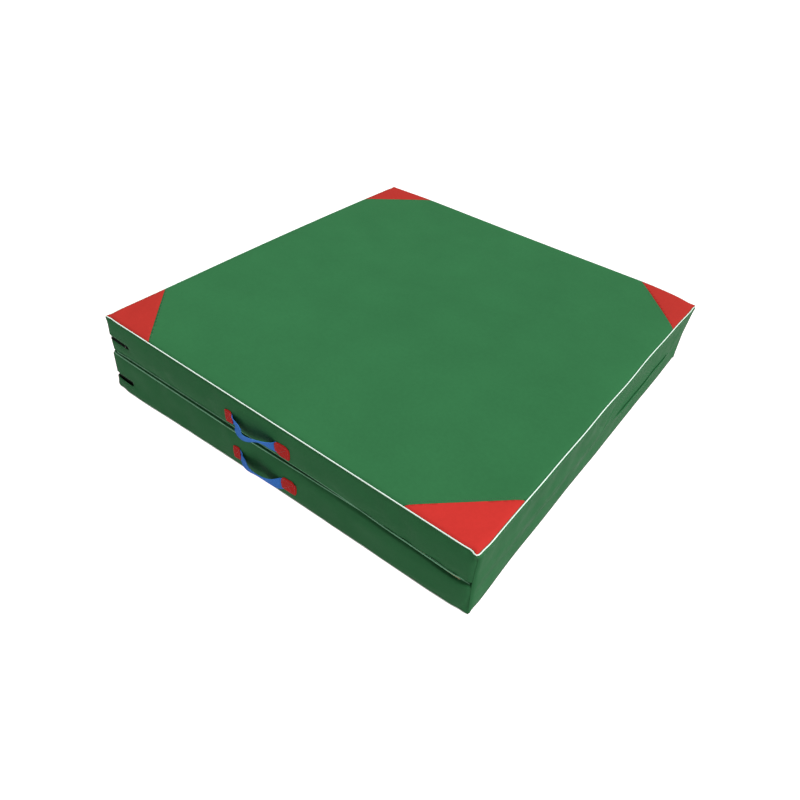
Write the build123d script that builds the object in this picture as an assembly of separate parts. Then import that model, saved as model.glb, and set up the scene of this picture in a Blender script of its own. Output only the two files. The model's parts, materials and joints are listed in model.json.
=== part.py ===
from build123d import *
import math
import os

# Folding gym mat, folded shut: two padded panels joined along one edge by a cloth hinge.
# Millimetres. The origin is the middle of the lower panel's outer face, which lies on the floor.
# +Z is up, +X points to the hinge, -X to the zips and -Y to the side with the carrying handles.
# Both panels are built lying on their outer face, the way the lower one lies, and the upper one
# is then mirrored in the fold plane, which passes between the two inner faces and holds the
# hinge axis. The foam is squeezed at the fold, so each panel is a shallow wedge.

# --- driving dimensions ---------------------------------------------------------------------
PANEL_LENGTH = 980.0        # across the fold, along X
PANEL_WIDTH = 1040.0        # along the fold, along Y
FREE_THICKNESS = 98.5       # floor to fold plane at the zip end
HINGE_THICKNESS = 84.5      # floor to fold plane at the hinge end
FOLD_CLEARANCE = 0.5        # from each inner face to the fold plane
COVER = 1.5                 # coated cloth of the cover
CORNER_PATCH_LEG = 158.0    # short sides of the triangular corner patches
SEAM_GAP = 0.1              # between pieces of cloth that are sewn edge to edge

PIPING_RADIUS = 2.2         # round the outer face
INNER_PIPING_RADIUS = 2.0   # round the inner face
PIPING_BEND = 10.0          # radius of the piping's centre line round a corner
PIPING_INSET = 0.5          # from the wall's outer surface to the piping's centre line
INNER_PIPING_END = 486.0    # the inner piping stops here, short of the hinge wall

FOAM_CLEARANCE = 2.2        # between foam and the cover's walls, which leaves room for the piping
FOAM_BASE_SHARE = 0.55      # firm base layer's share of the foam's depth
FOAM_CORNER = 8.0           # rounded corners of the foam, which clear the piping's bends

HINGE_LEAF = 2.4            # thickness of one half of the hinge strip
HINGE_LEAF_START = 4.8      # from the outer face to the strip's edge, sewn in by the piping
HINGE_LEAF_LENGTH = 1036.0
HINGE_AXIS_OUT = 4.0        # from the hinge wall to the axis

ZIP_HEIGHT = {"lower": 33.0, "upper": 59.0}   # from the outer face to the zip's middle
ZIP_SLOT = 10.0             # width of the gap in the cover that the zip closes
ZIP_RETURN = 60.0           # how far the zip runs round each corner on to the side walls
TAPE_WIDTH = 12.6
TAPE = 0.8
COIL_ROW = 2.35
COIL_DEPTH = 2.1
COIL_GAP = 0.15             # from the zip's middle to each coil row
STOP_LENGTH = 3.0

SLIDER_PARK = 497.0         # Y of the parked sliders
SLIDER_LENGTH = 12.0
SLIDER_WIDTH = 8.8
SLIDER_PLATE = 2.2
SLIDER_STANDOFF = 1.0       # from the wall's surface to the slider plate
FLANGE = 1.4
LUG_LENGTH = 3.6
PULL_PIN_RADIUS = 0.9
PULL_PIN_OUT = 5.5          # from the wall's surface to the pull's pivot
PULL_EYE_RADIUS = 2.1
PULL_HOLE_RADIUS = 1.2
PULL_LENGTH = 32.0
PULL_WIDTH = 5.2
PULL_THICKNESS = 1.6

HANDLE_X = {"lower": -10.0, "upper": -26.5}   # middle of each handle's loose length
HANDLE_HEIGHT = {"lower": 40.0, "upper": 57.0}  # from the outer face to the sewn ends
HANDLE_HANGS = {"lower": -1, "upper": 1}      # towards the outer face, or towards the inner one
HANDLE_FREE = 117.0         # between the two reinforcing patches
WEBBING_WIDTH = 26.0
WEBBING = 2.4
HANDLE_PATCH_LENGTH = {"zip_side": 24.0, "hinge_side": 38.0}
HANDLE_PATCH_HEIGHT = 34.0
HANDLE_PATCH_THICKNESS = 1.1
HANDLE_DROP = 36.0          # from the handle's axis to the strap's lowest edge
HANDLE_TILT = 25.0          # the hanging strap stands off the wall by this angle
HANDLE_AXIS_OUT = 3.0       # from the wall's surface to the handle's axis
HANDLE_AXIS_GAP = 1.0       # from the handle's axis to the strap's moving part

# --- values worked out from them --------------------------------------------------------------
HALF_X = PANEL_LENGTH / 2
HALF_Y = PANEL_WIDTH / 2
PIPING_TOP = 2 * PIPING_RADIUS + SEAM_GAP
INNER_PIPING_TOP = 2 * INNER_PIPING_RADIUS + SEAM_GAP
FACE_EDGE = PIPING_RADIUS + PIPING_INSET + SEAM_GAP
FOLD_SLOPE = (FREE_THICKNESS - HINGE_THICKNESS) / PANEL_LENGTH
FOLD_ANGLE = math.degrees(math.atan(FOLD_SLOPE))


def fold_height(x):
    """Height of the fold plane above the floor."""
    return HINGE_THICKNESS + (HALF_X - x) * FOLD_SLOPE


HINGE_AXIS = (HALF_X + HINGE_AXIS_OUT, 0.0, fold_height(HALF_X + HINGE_AXIS_OUT))
FOLD_PLANE = Plane(
    origin=HINGE_AXIS,
    x_dir=(math.cos(math.radians(FOLD_ANGLE)), 0, -math.sin(math.radians(FOLD_ANGLE))),
    z_dir=(math.sin(math.radians(FOLD_ANGLE)), 0, math.cos(math.radians(FOLD_ANGLE))),
)


def from_outer(depth):
    """A surface at a constant depth under the outer face."""
    return lambda x: depth


def from_inner(depth):
    """A surface at a constant depth under the sloping inner face."""
    return lambda x: fold_height(x) - FOLD_CLEARANCE - depth


# --- building blocks --------------------------------------------------------------------------
def prism(x_range, y_range, low, high):
    """A solid that runs along Y, between the surfaces low(x) and high(x)."""
    (x0, x1), (y0, y1) = x_range, y_range
    corners = [(x0, low(x0)), (x1, low(x1)), (x1, high(x1)), (x0, high(x0))]
    outline = Polyline(*[(x, y0, z) for x, z in corners], close=True)
    return Solid.extrude(Face(Wire(outline.edges())), Vector(0, y1 - y0, 0))


def block(x_range, y_range, z_range):
    """A box between the given limits, whichever way round they come."""
    low = [min(pair) for pair in (x_range, y_range, z_range)]
    high = [max(pair) for pair in (x_range, y_range, z_range)]
    size = [b - a for a, b in zip(low, high)]
    return Pos(*low) * Box(*size, align=(Align.MIN,) * 3)


def rounded_sheet(half_x, half_y, radius, thickness):
    """A flat sheet with rounded corners, standing on the outer face's plane."""
    return extrude(RectangleRounded(2 * half_x, 2 * half_y, radius), thickness)


def tube_along(path, radius):
    """A round bar along a path."""
    start = Plane(origin=path @ 0, z_dir=path % 0)
    return sweep(start * Circle(radius), path=path)


# --- foam core --------------------------------------------------------------------------------
def foam_layers():
    """Two glued layers that fill the cover: a firm base by the outer face, a soft top within."""
    x_range = (-HALF_X + COVER + FOAM_CLEARANCE, HALF_X - COVER - FOAM_CLEARANCE)
    y_range = (-HALF_Y + COVER + FOAM_CLEARANCE, HALF_Y - COVER - FOAM_CLEARANCE)
    joint = from_outer(HINGE_THICKNESS * FOAM_BASE_SHARE)
    base = prism(x_range, y_range, from_outer(COVER), joint)
    soft = prism(x_range, y_range, joint, from_inner(COVER))
    return {
        "foam_base_layer": base.fillet(FOAM_CORNER, base.edges().filter_by(Axis.Z)),
        "foam_soft_layer": soft.fillet(FOAM_CORNER, soft.edges().filter_by(Axis.Z)),
    }


# --- cover ------------------------------------------------------------------------------------
def corner_triangle(sign_x, sign_y, leg):
    """A flat right triangle in one corner of the outer face, as deep as the cover's cloth."""
    x, y = sign_x * (HALF_X + SEAM_GAP), sign_y * (HALF_Y + SEAM_GAP)
    points = [(x, y), (x - sign_x * leg, y), (x, y - sign_y * leg)]
    return extrude(make_face(Polyline(*points, close=True)), COVER)


def outer_face():
    """The outer face's sheet with its four corners pieced in as triangles of another colour."""
    half_x, half_y = HALF_X - FACE_EDGE, HALF_Y - FACE_EDGE
    sheet = rounded_sheet(half_x, half_y, PIPING_BEND - PIPING_RADIUS - SEAM_GAP, COVER)
    corners = {
        "corner_patch_hinge_handle": (1, -1),
        "corner_patch_hinge_back": (1, 1),
        "corner_patch_zip_back": (-1, 1),
        "corner_patch_zip_handle": (-1, -1),
    }
    pieces = {}
    middle = sheet
    for name, (sign_x, sign_y) in corners.items():
        pieces[name] = sheet & corner_triangle(sign_x, sign_y, CORNER_PATCH_LEG)
        middle = middle - corner_triangle(sign_x, sign_y, CORNER_PATCH_LEG + 2 * SEAM_GAP)
    pieces["cover_outer_face"] = middle
    return pieces


def zip_slot_cut(sign_y, zip_height):
    """What the zip's return takes out of a side wall."""
    return block(
        (-HALF_X - 1, -HALF_X + ZIP_RETURN),
        (sign_y * (HALF_Y + 1), sign_y * (HALF_Y - COVER - 1)),
        (zip_height - ZIP_SLOT / 2, zip_height + ZIP_SLOT / 2),
    )


def side_wall(sign_y, zip_height):
    """The handle side's wall or the back wall, with the slot that the zip's return closes."""
    y_range = sorted((sign_y * HALF_Y, sign_y * (HALF_Y - COVER)))
    wall = prism(
        (-HALF_X, HALF_X), y_range, from_outer(PIPING_TOP), from_inner(INNER_PIPING_TOP)
    )
    return wall - zip_slot_cut(sign_y, zip_height)


def end_wall(x_range, low, high):
    """A strip of wall across one end, between the two side walls."""
    half_y = HALF_Y - COVER - SEAM_GAP
    return prism(x_range, (-half_y, half_y), low, high)


def cover_walls(zip_height):
    """The inner face and the five strips of wall round the foam."""
    zip_wall = (-HALF_X, -HALF_X + COVER)
    half_y = HALF_Y - FACE_EDGE
    inner_sheet = prism(
        (-HALF_X + FACE_EDGE + COVER, HALF_X), (-half_y, half_y), from_inner(COVER), from_inner(0)
    )
    zip_end_corners = inner_sheet.edges().filter_by(Axis.Z).group_by(Axis.X)[0]
    inner_sheet = inner_sheet.fillet(PIPING_BEND - PIPING_RADIUS, zip_end_corners)
    return {
        "cover_inner_face": inner_sheet,
        "cover_handle_wall": side_wall(-1, zip_height),
        "cover_back_wall": side_wall(1, zip_height),
        "cover_hinge_wall": end_wall(
            (HALF_X - COVER, HALF_X), from_outer(PIPING_TOP), from_inner(COVER + SEAM_GAP)
        ),
        "cover_zip_wall_outer_strip": end_wall(
            zip_wall, from_outer(PIPING_TOP), from_outer(zip_height - ZIP_SLOT / 2)
        ),
        "cover_zip_wall_inner_strip": end_wall(
            zip_wall, from_outer(zip_height + ZIP_SLOT / 2), from_inner(INNER_PIPING_TOP)
        ),
    }


def piping():
    """A closed loop round the outer face, and a three-sided run round the inner face."""
    line_x, line_y = HALF_X - PIPING_INSET, HALF_Y - PIPING_INSET
    loop = Pos(0, 0, PIPING_RADIUS) * RectangleRounded(2 * line_x, 2 * line_y, PIPING_BEND)
    loop_path = Wire(loop.face().outer_wire().edges())
    height = from_inner(INNER_PIPING_RADIUS)
    corners = [
        (INNER_PIPING_END, -line_y, height(INNER_PIPING_END)),
        (-line_x, -line_y, height(-line_x)),
        (-line_x, line_y, height(-line_x)),
        (INNER_PIPING_END, line_y, height(INNER_PIPING_END)),
    ]
    run = FilletPolyline(*corners, radius=PIPING_BEND)
    return {
        "outer_piping": tube_along(loop_path, PIPING_RADIUS),
        "inner_piping": tube_along(Wire(run.edges()), INNER_PIPING_RADIUS),
    }


def hinge_leaf():
    """This panel's half of the cloth hinge strip, sewn to the outside of the hinge wall."""
    x_range = (HALF_X + SEAM_GAP, HALF_X + SEAM_GAP + HINGE_LEAF)
    half_y = HINGE_LEAF_LENGTH / 2
    return prism(
        x_range, (-half_y, half_y), from_outer(HINGE_LEAF_START), from_inner(FOLD_CLEARANCE)
    )


# --- zip --------------------------------------------------------------------------------------
def round_the_end(near, far, z_range, reach):
    """A bar across the zip end that turns both corners on to the side walls.

    near and far are its distances behind the wall's outer surface, negative outside it."""
    inside_x, inside_y = HALF_X - far, HALF_Y - far
    outside_x, outside_y = HALF_X - near, HALF_Y - near
    end_x = -HALF_X + reach
    outline = block((-outside_x, end_x), (-outside_y, outside_y), z_range)
    hollow = block((-inside_x, end_x + 1), (-inside_y, inside_y), (z_range[0] - 1, z_range[1] + 1))
    return outline - hollow


def zip_chain(zip_height):
    """Two tapes behind the cover's edges and two coil rows that fill the slot between them."""
    tape_near = COVER + SEAM_GAP
    coil_far = COVER
    tapes, coils, stops = [], [], []
    for side in (-1, 1):
        tape_z = sorted(zip_height + side * z for z in (COIL_GAP + 1.2, COIL_GAP + 1.2 + TAPE_WIDTH))
        coil_z = sorted(zip_height + side * z for z in (COIL_GAP, COIL_GAP + COIL_ROW))
        tapes.append(round_the_end(tape_near, tape_near + TAPE, tape_z, ZIP_RETURN + 6))
        coils.append(
            round_the_end(coil_far - COIL_DEPTH, coil_far, coil_z, ZIP_RETURN - 2 * STOP_LENGTH)
        )
        stop_x = -HALF_X + ZIP_RETURN - 2 * STOP_LENGTH + SEAM_GAP
        y_range = (side * (HALF_Y - COVER), side * (HALF_Y - COVER + COIL_DEPTH + 0.4))
        half = COIL_GAP + COIL_ROW
        stops.append(
            block((stop_x, stop_x + STOP_LENGTH), y_range, (zip_height - half, zip_height + half))
        )
    return {
        "zip_tapes": Compound(children=tapes),
        "zip_coils": Compound(children=coils),
        "zip_end_stops": Compound(children=stops),
    }


def zip_slider(zip_height):
    """Front plate with two guide flanges and two lugs that hold the pull's pin."""
    y_range = (SLIDER_PARK - SLIDER_LENGTH / 2, SLIDER_PARK + SLIDER_LENGTH / 2)
    half = SLIDER_WIDTH / 2
    plate_in = -HALF_X - SLIDER_STANDOFF
    plate_out = plate_in - SLIDER_PLATE
    body = block((plate_out, plate_in), y_range, (zip_height - half, zip_height + half))
    body = fillet(body.edges().filter_by(Axis.X), 2.5)
    pin_x = -HALF_X - PULL_PIN_OUT
    lug_y = (SLIDER_PARK - LUG_LENGTH / 2, SLIDER_PARK + LUG_LENGTH / 2)
    for side in (-1, 1):
        edge = sorted((zip_height + side * half, zip_height + side * (half - FLANGE)))
        body = body + block((plate_in, -HALF_X + 0.6), y_range, edge)
        body = body + block((pin_x - 1.4, plate_out), lug_y, edge)
    pin = Pos(pin_x, SLIDER_PARK, zip_height) * Cylinder(PULL_PIN_RADIUS, 2 * half - FLANGE)
    return body + pin


def zip_pull(zip_height):
    """Flat pull tab that lies along the wall and turns on the slider's pin."""
    pin_x = -HALF_X - PULL_PIN_OUT
    at_pin = Pos(pin_x, SLIDER_PARK, zip_height)
    tab = block(
        (pin_x - PULL_THICKNESS / 2, pin_x + PULL_THICKNESS / 2),
        (SLIDER_PARK, SLIDER_PARK - PULL_LENGTH),
        (zip_height - PULL_WIDTH / 2, zip_height + PULL_WIDTH / 2),
    )
    tab = fillet(tab.edges().filter_by(Axis.X).group_by(Axis.Y)[0], 2.2)
    tab = tab + at_pin * Cylinder(PULL_EYE_RADIUS, PULL_WIDTH)
    return tab - at_pin * Cylinder(PULL_HOLE_RADIUS, PULL_WIDTH + 2)


# --- carrying handle --------------------------------------------------------------------------
def handle_fixings(side):
    """The strap's two sewn ends, and the reinforcing patch stitched over each of them."""
    height, middle = HANDLE_HEIGHT[side], HANDLE_X[side]
    strap_y = (-HALF_Y - SEAM_GAP, -HALF_Y - SEAM_GAP - WEBBING)
    patch_y = (strap_y[1] - SEAM_GAP, strap_y[1] - SEAM_GAP - HANDLE_PATCH_THICKNESS)
    ends, pieces = [], {}
    for sign, where in ((-1, "zip_side"), (1, "hinge_side")):
        half = HANDLE_PATCH_LENGTH[where] / 2
        x = middle + sign * (HANDLE_FREE / 2 + half)
        ends.append(
            block(
                (x - half + 3, x + half - 3),
                strap_y,
                (height - WEBBING_WIDTH / 2, height + WEBBING_WIDTH / 2),
            )
        )
        half_height = HANDLE_PATCH_HEIGHT / 2
        patch = block((x - half, x + half), patch_y, (height - half_height, height + half_height))
        pieces["handle_patch_" + where] = fillet(patch.edges().filter_by(Axis.Y), 5)
    pieces["handle_strap_ends"] = Compound(children=ends)
    return pieces


def handle_strap(side):
    """The strap's loose loop, which hangs from its sewn ends a little off the wall."""
    outer_x = HANDLE_FREE / 2 - 1
    inner_x = outer_x - WEBBING_WIDTH
    inner_drop = HANDLE_DROP - WEBBING_WIDTH
    band = Ellipse(outer_x, HANDLE_DROP) - Ellipse(inner_x, inner_drop)
    lower_half = Pos(0, -HANDLE_AXIS_GAP - HANDLE_DROP / 2) * Rectangle(2 * outer_x, HANDLE_DROP)
    band = band & lower_half
    flat = extrude(band, WEBBING / 2, both=True)
    upright = Rot(90, 0, 0) * flat
    hanging = Rot(-HANDLE_TILT, 0, 0) * upright
    if HANDLE_HANGS[side] > 0:
        hanging = hanging.mirror(Plane.XY)
    return Pos(HANDLE_X[side], -HALF_Y - HANDLE_AXIS_OUT, HANDLE_HEIGHT[side]) * hanging


# --- assembly ---------------------------------------------------------------------------------
def panel(side):
    """Every piece of one panel, lying on its outer face."""
    zip_height = ZIP_HEIGHT[side]
    pieces = {}
    pieces.update(foam_layers())
    pieces.update(outer_face())
    pieces.update(cover_walls(zip_height))
    pieces.update(piping())
    pieces["hinge_leaf"] = hinge_leaf()
    pieces.update(zip_chain(zip_height))
    pieces["zip_slider"] = zip_slider(zip_height)
    pieces["zip_pull"] = zip_pull(zip_height)
    pieces.update(handle_fixings(side))
    pieces["handle_strap"] = handle_strap(side)
    return pieces


def place(shape, side):
    """The lower panel stays where it was built; the upper one is its mirror in the fold plane."""
    if side == "lower":
        return shape
    mirrored = [solid.mirror(FOLD_PLANE) for solid in shape.solids()]
    return mirrored[0] if len(mirrored) == 1 else Compound(children=mirrored)


def assembly():
    """Node name to shape, for both panels."""
    nodes = {}
    for side in ("lower", "upper"):
        for name, shape in panel(side).items():
            nodes[f"{side}_{name}"] = place(shape, side)
    return nodes


os.makedirs("parts", exist_ok=True)
NODES = assembly()
for node_name, node_shape in NODES.items():
    export_step(node_shape, os.path.join("parts", node_name + ".step"))
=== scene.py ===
import json
import math

import bmesh
import bpy
import numpy as np
from mathutils import Matrix, Vector
from mathutils.bvhtree import BVHTree


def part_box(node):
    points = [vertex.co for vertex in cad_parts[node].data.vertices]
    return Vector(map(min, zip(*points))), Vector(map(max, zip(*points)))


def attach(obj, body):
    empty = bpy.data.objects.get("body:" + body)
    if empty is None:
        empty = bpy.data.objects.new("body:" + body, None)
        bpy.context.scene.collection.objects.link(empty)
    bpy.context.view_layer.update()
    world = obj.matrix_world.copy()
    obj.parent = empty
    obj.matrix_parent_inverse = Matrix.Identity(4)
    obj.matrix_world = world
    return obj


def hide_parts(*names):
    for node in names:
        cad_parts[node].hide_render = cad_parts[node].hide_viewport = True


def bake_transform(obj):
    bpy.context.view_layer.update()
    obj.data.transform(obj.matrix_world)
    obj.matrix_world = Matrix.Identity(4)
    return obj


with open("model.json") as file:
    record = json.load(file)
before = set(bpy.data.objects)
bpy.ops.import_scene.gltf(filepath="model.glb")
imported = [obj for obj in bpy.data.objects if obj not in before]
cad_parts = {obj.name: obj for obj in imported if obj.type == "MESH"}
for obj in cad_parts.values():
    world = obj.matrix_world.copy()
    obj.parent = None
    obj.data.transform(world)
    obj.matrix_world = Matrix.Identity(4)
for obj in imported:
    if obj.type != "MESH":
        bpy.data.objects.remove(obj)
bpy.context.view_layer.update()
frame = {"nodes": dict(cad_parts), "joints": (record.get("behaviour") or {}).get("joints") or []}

# Looks of a folding gym mat, folded shut: two foam panels in coated cloth covers, joined by a
# cloth hinge. Metres. Each panel is described lying on its outer face, in panel coordinates:
# x towards the hinge, y towards the back, w up from the outer face. The lower panel lies that
# way; the upper one is its mirror image in the fold plane.

MM = 0.001
SIDES = ("lower", "upper")
UP = np.array([0, 0, 1.0])

# --- the fold and the panels' sizes, from the frame ---


def joint(name):
    return next(j for j in frame["joints"] if j["name"] == name)


FOLD_AXIS = np.array(joint("panel_fold")["pos_m"])
UPPER_HANDLE_AXIS = joint("upper_handle_swing")["axis"]
FOLD_ANGLE = 0.5 * math.atan2(UPPER_HANDLE_AXIS[2], -UPPER_HANDLE_AXIS[0])
FOLD_NORMAL = np.array([math.sin(FOLD_ANGLE), 0.0, math.cos(FOLD_ANGLE)])
FOLD_CLEARANCE = 0.5 * MM
HALF_X = -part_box("lower_cover_handle_wall")[0].x
HALF_Y = -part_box("lower_cover_handle_wall")[0].y
SLOT_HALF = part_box("lower_cover_zip_wall_inner_strip")[0].z / 2
SLOT_HALF -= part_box("lower_cover_zip_wall_outer_strip")[1].z / 2
PAST_END_STOPS = {"lower": 6 * MM, "upper": 13 * MM}
SLOT_END = {side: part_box(f"{side}_zip_end_stops")[1].x + PAST_END_STOPS[side] for side in SIDES}
OUTER_PIPING = 1.15 * MM
INNER_PIPING = 1.3 * MM
STRIP_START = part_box("lower_hinge_leaf")[0].z
STRIP_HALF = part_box("lower_hinge_leaf")[1].y
# the corner triangles' two legs, along x and along y
PATCH_LEGS = {
    ("zip", "handle"): (146 * MM, 162 * MM),
    ("zip", "back"): (158 * MM, 158 * MM),
    ("hinge", "handle"): (160 * MM, 158 * MM),
    ("hinge", "back"): (152 * MM, 152 * MM),
}


def reflect(vectors):
    return vectors - 2 * (vectors @ FOLD_NORMAL)[..., None] * FOLD_NORMAL


def place(side, points):
    """Panel coordinates to the frame's, and back again, because a reflection undoes itself."""
    points = np.asarray(points, float)
    if side == "lower":
        return points.copy()
    return FOLD_AXIS + reflect(points - FOLD_AXIS)


def turn(side, vectors):
    vectors = np.asarray(vectors, float)
    return vectors.copy() if side == "lower" else reflect(vectors)


def depth_at(x):
    """From the outer face to the inner face."""
    return FOLD_AXIS[2] + (FOLD_AXIS[0] - x) * math.tan(FOLD_ANGLE) - FOLD_CLEARANCE


def middle_of(side, node):
    """The middle of a CAD node's box, in panel coordinates."""
    low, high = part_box(f"{side}_{node}")
    return place(side, np.array((low + high) / 2))


ZIP_HEIGHT = {side: middle_of(side, "zip_slider")[2] for side in SIDES}

# --- small numeric helpers ---


def ease(t):
    t = np.clip(t, 0, 1)
    return t * t * (3 - 2 * t)


def near(distance, reach):
    return np.exp(-((np.asarray(distance) / reach) ** 2))


def ripple(x, y, wavelength, seed, waves=6):
    """Soft random waves over a surface, mostly between -1 and 1."""
    rng = np.random.default_rng(seed)
    total = 0
    for _ in range(waves):
        heading, phase = rng.uniform(0, 2 * np.pi, 2)
        rate = 2 * np.pi / (wavelength * rng.uniform(0.7, 1.6))
        total = total + np.sin(rate * (x * np.cos(heading) + y * np.sin(heading)) + phase)
    return total / math.sqrt(waves)


def through(knots):
    """A smooth curve through a few (place, value) knots in millimetres, flat beyond the ends."""
    where, value = np.array(knots, float).T * MM
    step = np.diff(where)
    rise = np.diff(value) / step
    slope = np.zeros(len(where))
    same_way = rise[:-1] * rise[1:] > 0
    slope[1:-1][same_way] = 2 * (rise[:-1] * rise[1:] / (rise[:-1] + rise[1:] + 1e-12))[same_way]

    def curve(at):
        at = np.clip(at, where[0], where[-1])
        i = np.clip(np.searchsorted(where, at) - 1, 0, len(step) - 1)
        t = (at - where[i]) / step[i]
        h00, h10 = (1 + 2 * t) * (1 - t) ** 2, t * (1 - t) ** 2
        return (
            h00 * value[i]
            + h10 * step[i] * slope[i]
            + (1 - h00) * value[i + 1]
            - t * t * (1 - t) * step[i] * slope[i + 1]
        )

    return curve


# --- the soft shape of a panel ---
# Each wall leans in towards the fold by a different amount along its length, which hides one
# panel's piping behind the other's.

HANDLE_SIDE_RECESS = {
    "upper": through(
        [(-490, 2), (-440, 3.6), (-254, 4), (98, 6.5), (174, 6), (247, 3), (339, 0), (490, 0)]
    ),
    "lower": through(
        [(-490, 0), (-440, -0.8), (-122, -1), (98, 3.4), (174, 5)]
        + [(247, 7), (339, 9), (447, 8), (480, 2), (490, 0)]
    ),
}
FOLD_RISE = through([(-490, 0), (339, 0), (447, -3), (490, -3)])
FRONT_GAP = through([(200, 0), (300, 1.2), (400, 3.6), (455, 4.8), (480, 3.4), (490, 2)])
FRONT_FLARE = through(
    [(-490, 4), (-450, 8), (-400, 8.5), (-300, 6), (-200, 4.5)]
    + [(0, 2), (250, 2), (400, 2.5), (470, 1), (490, 0)]
)
BACK_RECESS = {"upper": 5 * MM, "lower": 2 * MM}
BACK_BOW = through(
    [(-490, 0), (-350, 4), (-100, 6), (100, 8.5), (250, 11), (350, 12), (430, 8.5), (490, 2)]
)
UPPER_ZIP_RECESS = 8 * MM
LOWER_ZIP_RECESS = 1.5 * MM
WALL_REACH = 90 * MM  # how far in from a wall its leaning moves things
SHAPE_SEED = {"lower": 11, "upper": 12}
FLOOR_GAP = 0.55 * MM  # room for the stitches under the lower panel
LEAN_START = {"upper": 0.94, "lower": 0.92}
RETURN_RISE = {"upper": 2.5 * MM, "lower": 0.0}  # of the slot, where it goes round the corner
ZIP_OVERHANG = 3 * MM  # the lower panel's zip end stands out from under the upper one
# how far some corners stand out, and how far the piping's turn pulls each one to a point
FLARES = {
    ("upper", -1, -1): (3.5 * MM, 0),
    ("lower", -1, -1): (3.5 * MM, 0),
    ("upper", 1, 1): (4.5 * MM, 4.5 * MM),
    ("lower", 1, -1): (4 * MM, 0),
}
EARS = {("upper", 1, -1): (-3.4 * MM, 9.6 * MM), ("lower", 1, -1): (0.5 * MM, 0)}
SMALL_EAR = (2.1 * MM, 2.1 * MM)
CORNER_RADIUS = {"zip": 6 * MM, "hinge_front": 13 * MM, "hinge_back": 5 * MM}
SEAM_CORNER_RADIUS = 4 * MM
SEAM_DEPTH = {"upper": 3.2 * MM, "lower": 1.4 * MM}
SEAM_TUCK = {"upper": (5 * MM, 3.0 * MM), "lower": (3.5 * MM, 2.2 * MM)}
HIGHEST_ROLL = 3.2 * MM


def hinge_relief(y, z):
    """How far the hinge side's cloth bulges, from its heights above the floor: a soft roll over
    the fold that is higher at the front, and a few puckers where it meets the pleat."""
    to_front = ease((0.09 - y) / 0.14)
    off = z - FOLD_AXIS[2] - 1.2 * MM * ripple(y, 0 * y, 0.23, 3)
    roll = (1.2 + 1.8 * to_front) * MM * near(off - 2 * MM, 18 * MM)
    roll -= 0.8 * MM * to_front * near(off + 32 * MM, 14 * MM)
    lower_roll = 1.2 * MM * near(z - 0.3 * FOLD_AXIS[2], 16 * MM)
    pucker = -2.4 * MM * near(off - 14 * MM - 0.9 * (y - 0.01), 4 * MM) * near(y - 0.02, 0.035)
    second = -2.0 * MM * near(off - 26 * MM + 0.8 * (y + 0.02), 4 * MM) * near(y + 0.02, 0.03)
    waves = 0.6 * MM * ripple(y, 1.6 * z, 0.11, 8)
    return np.minimum(roll + lower_roll + pucker + second + waves, HIGHEST_ROLL)


def corner_round(x, y, w):
    """Bends the square corners of a plan view into quarter circles, tighter by the outer seam."""
    by_hinge = np.where(y < 0, CORNER_RADIUS["hinge_front"], CORNER_RADIUS["hinge_back"])
    radius = np.where(x > 0, by_hinge, CORNER_RADIUS["zip"])
    radius = radius + (SEAM_CORNER_RADIUS - radius) * near(w, 9 * MM)
    p = (np.abs(x) - (HALF_X - radius)) / radius
    q = (np.abs(y) - (HALF_Y - radius)) / radius
    inside = (p > 0) & (q > 0)
    reach = np.where(inside, np.maximum(p, q), 0)
    smaller = np.where(inside, np.minimum(p, q), 0) / np.maximum(reach, 1e-9)
    angle = smaller * math.pi / 4
    along = reach * np.where(p >= q, np.cos(angle), np.sin(angle))
    across = reach * np.where(p >= q, np.sin(angle), np.cos(angle))
    new_x = np.sign(x) * (HALF_X - radius + radius * along)
    new_y = np.sign(y) * (HALF_Y - radius + radius * across)
    return np.where(inside, new_x, x), np.where(inside, new_y, y)


def lean_past_zip(side, x, w):
    """How far the upper panel's zip end leans in, growing from its zip to the fold."""
    if side == "lower":
        return 0 * w
    past = np.clip((w - ZIP_HEIGHT[side]) / (depth_at(x) - ZIP_HEIGHT[side]), 0, 1)
    return UPPER_ZIP_RECESS * past * near(HALF_X + x, WALL_REACH)


def off_ends(along, half):
    """1 along most of a wall, and 0 at its two ends."""
    return 1 - (np.abs(along) / half) ** 6


def seam_shift(side, x, y, w, inner_seam):
    """Along its seams the cloth dives in behind the piping."""
    gap_x, gap_y, rest = HALF_X - np.abs(x), HALF_Y - np.abs(y), depth_at(x) - w
    dx, dy = np.zeros_like(x), np.zeros_like(x)
    for height, (reach, tuck) in ((w, SEAM_TUCK[side]), (rest, (4 * MM, 2.4 * MM * inner_seam))):
        dx -= np.sign(x) * tuck * near(np.hypot(gap_x, height), reach)
        dy -= np.sign(y) * tuck * near(np.hypot(gap_y, height), reach)
    gap = np.minimum(gap_x, gap_y)
    dw = SEAM_DEPTH[side] * near(np.hypot(gap, w), 5 * MM)
    return dx, dy, dw - 2.2 * MM * inner_seam * near(np.hypot(gap, rest), 4 * MM)


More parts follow.
